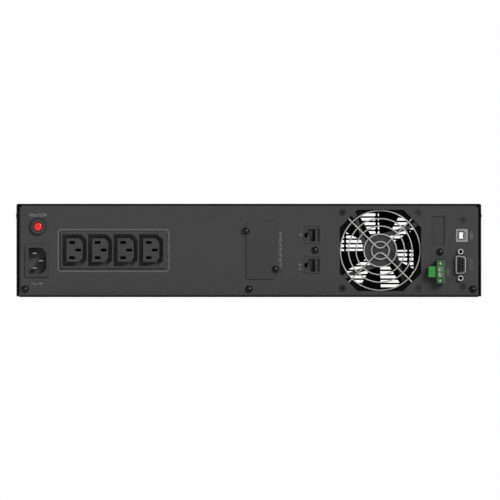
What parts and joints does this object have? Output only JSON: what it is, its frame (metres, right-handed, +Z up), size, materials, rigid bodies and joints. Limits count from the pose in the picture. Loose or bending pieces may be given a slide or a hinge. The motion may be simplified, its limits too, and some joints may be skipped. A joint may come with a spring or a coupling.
{
  "type": "rackmount uninterruptible power supply",
  "caption": "Two-unit rack-mount uninterruptible power supply with a rear connector panel, guarded cooling fan and a front battery drawer.",
  "frame": {"origin": "centre of the flat underside of the chassis", "axes": "+Z up; the connector panel and fan face +Y, the control bezel and battery drawer face -Y; +X is to the left of the connector panel seen from behind"},
  "size_m": [0.4406, 0.426, 0.088],
  "materials": {
    "chassis_paint": "satin powder coat, dark grey",
    "cover_paint": "satin powder coat, charcoal",
    "zinc_steel": "bright zinc plated sheet",
    "blackened_screws": "black oxide",
    "inner_steel": "zinc plated",
    "guard_wire": "bright nickel-plated wire",
    "black_plastic": "black glass-filled nylon",
    "grey_plastic": "dark grey, spark-eroded",
    "red_plastic": "gloss",
    "green_plastic": "satin",
    "white_plastic": "satin",
    "tinned_metal": "tin plated",
    "contact_brass": "polished",
    "board_laminate": "solder mask green",
    "component_black": "moulded",
    "heatsink_metal": "extruded",
    "ferrite_grey": "matte",
    "wire_cover": "soft vinyl",
    "battery_case": "moulded",
    "display_glass": "tinted"
  },
  "bodies": {
    "chassis": {"base_pan": "chassis_paint", "battery_socket": "black_plastic", "board_components": "component_black", "breaker_body": "black_plastic", "breaker_nut": "grey_plastic", "capacitors": "component_black", "chassis_wiring": "wire_cover", "chokes": "ferrite_grey", "clinch_nuts": "zinc_steel", "control_bezel": "black_plastic", "countersunk_screws": "blackened_screws", "cover_screws": "blackened_screws", "display_board": "board_laminate", "display_lens": "display_glass", "drawer_rails": "zinc_steel", "duct_walls": "black_plastic", "epo_header": "green_plastic", "fan_frame": "black_plastic", "fan_guard": "guard_wire", "front_frame": "zinc_steel", "heatsinks": "heatsink_metal", "inlet_body": "grey_plastic", "inlet_pins": "tinned_metal", "network_jack_contacts": "contact_brass", "network_jacks": "grey_plastic", "outlet_block": "grey_plastic", "outlet_contacts": "contact_brass", "pan_head_screws": "blackened_screws", "port_boards": "board_laminate", "port_brackets": "chassis_paint", "power_board": "board_laminate", "rear_panel": "chassis_paint", "serial_insert": "grey_plastic", "serial_jack_posts": "tinned_metal", "serial_shell": "tinned_metal", "slot_cage": "zinc_steel", "slot_cover": "chassis_paint", "standoffs": "inner_steel", "top_cover": "cover_paint", "transformers": "ferrite_grey", "usb_insert": "white_plastic", "usb_shell": "tinned_metal"},
    "fan": {"fan_rotor": "black_plastic"},
    "breaker_plunger": {"breaker_button": "red_plastic"},
    "battery_drawer": {"battery_tray": "zinc_steel", "batteries": "battery_case", "battery_leads": "wire_cover", "battery_straps": "zinc_steel", "battery_plug": "black_plastic", "battery_fascia": "black_plastic", "fascia_screws": "blackened_screws"},
    "drawer_handle": {"drop_handle": "black_plastic"},
    "thumbscrew_a": {"thumbscrew_left": "blackened_screws"},
    "thumbscrew_b": {"thumbscrew_right": "blackened_screws"},
    "power_key": {"power_button": "black_plastic"},
    "scroll_down_key": {"scroll_down_button": "black_plastic"},
    "enter_key": {"enter_button": "black_plastic"},
    "scroll_up_key": {"scroll_up_button": "black_plastic"},
    "emergency_off_plug": {"epo_plug": "green_plastic", "epo_plug_metal": "tinned_metal"}
  },
  "joints": [
    {"name": "fan_spin", "type": "hinge", "parent": "chassis", "child": "fan", "pos_m": [-0.1239, 0.174, 0.044], "axis": [0, 1, 0], "continuous": true},
    {"name": "breaker_push", "type": "slide", "parent": "chassis", "child": "breaker_plunger", "axis": [0, 1, 0], "range_m": [-0.001, 0.0045]},
    {"name": "drawer_pull", "type": "slide", "parent": "chassis", "child": "battery_drawer", "axis": [0, -1, 0], "range_m": [0, 0.205]},
    {"name": "handle_swing", "type": "hinge", "parent": "battery_drawer", "child": "drawer_handle", "pos_m": [0.1293, -0.2116, 0.055], "axis": [-1, 0, 0], "range_deg": [0, 90]},
    {"name": "thumbscrew_a_turn", "type": "hinge", "parent": "battery_drawer", "child": "thumbscrew_a", "pos_m": [0.046, -0.2, 0.044], "axis": [0, 1, 0], "continuous": true},
    {"name": "thumbscrew_b_turn", "type": "hinge", "parent": "battery_drawer", "child": "thumbscrew_b", "pos_m": [0.2119, -0.2, 0.044], "axis": [0, 1, 0], "continuous": true},
    {"name": "power_key_press", "type": "slide", "parent": "chassis", "child": "power_key", "axis": [0, 1, 0], "range_m": [0, 0.001]},
    {"name": "scroll_down_press", "type": "slide", "parent": "chassis", "child": "scroll_down_key", "axis": [0, 1, 0], "range_m": [0, 0.001]},
    {"name": "enter_press", "type": "slide", "parent": "chassis", "child": "enter_key", "axis": [0, 1, 0], "range_m": [0, 0.001]},
    {"name": "scroll_up_press", "type": "slide", "parent": "chassis", "child": "scroll_up_key", "axis": [0, 1, 0], "range_m": [0, 0.001]},
    {"name": "emergency_plug_pull", "type": "slide", "parent": "chassis", "child": "emergency_off_plug", "axis": [0, 1, 0], "range_m": [0, 0.018]}
  ]
}
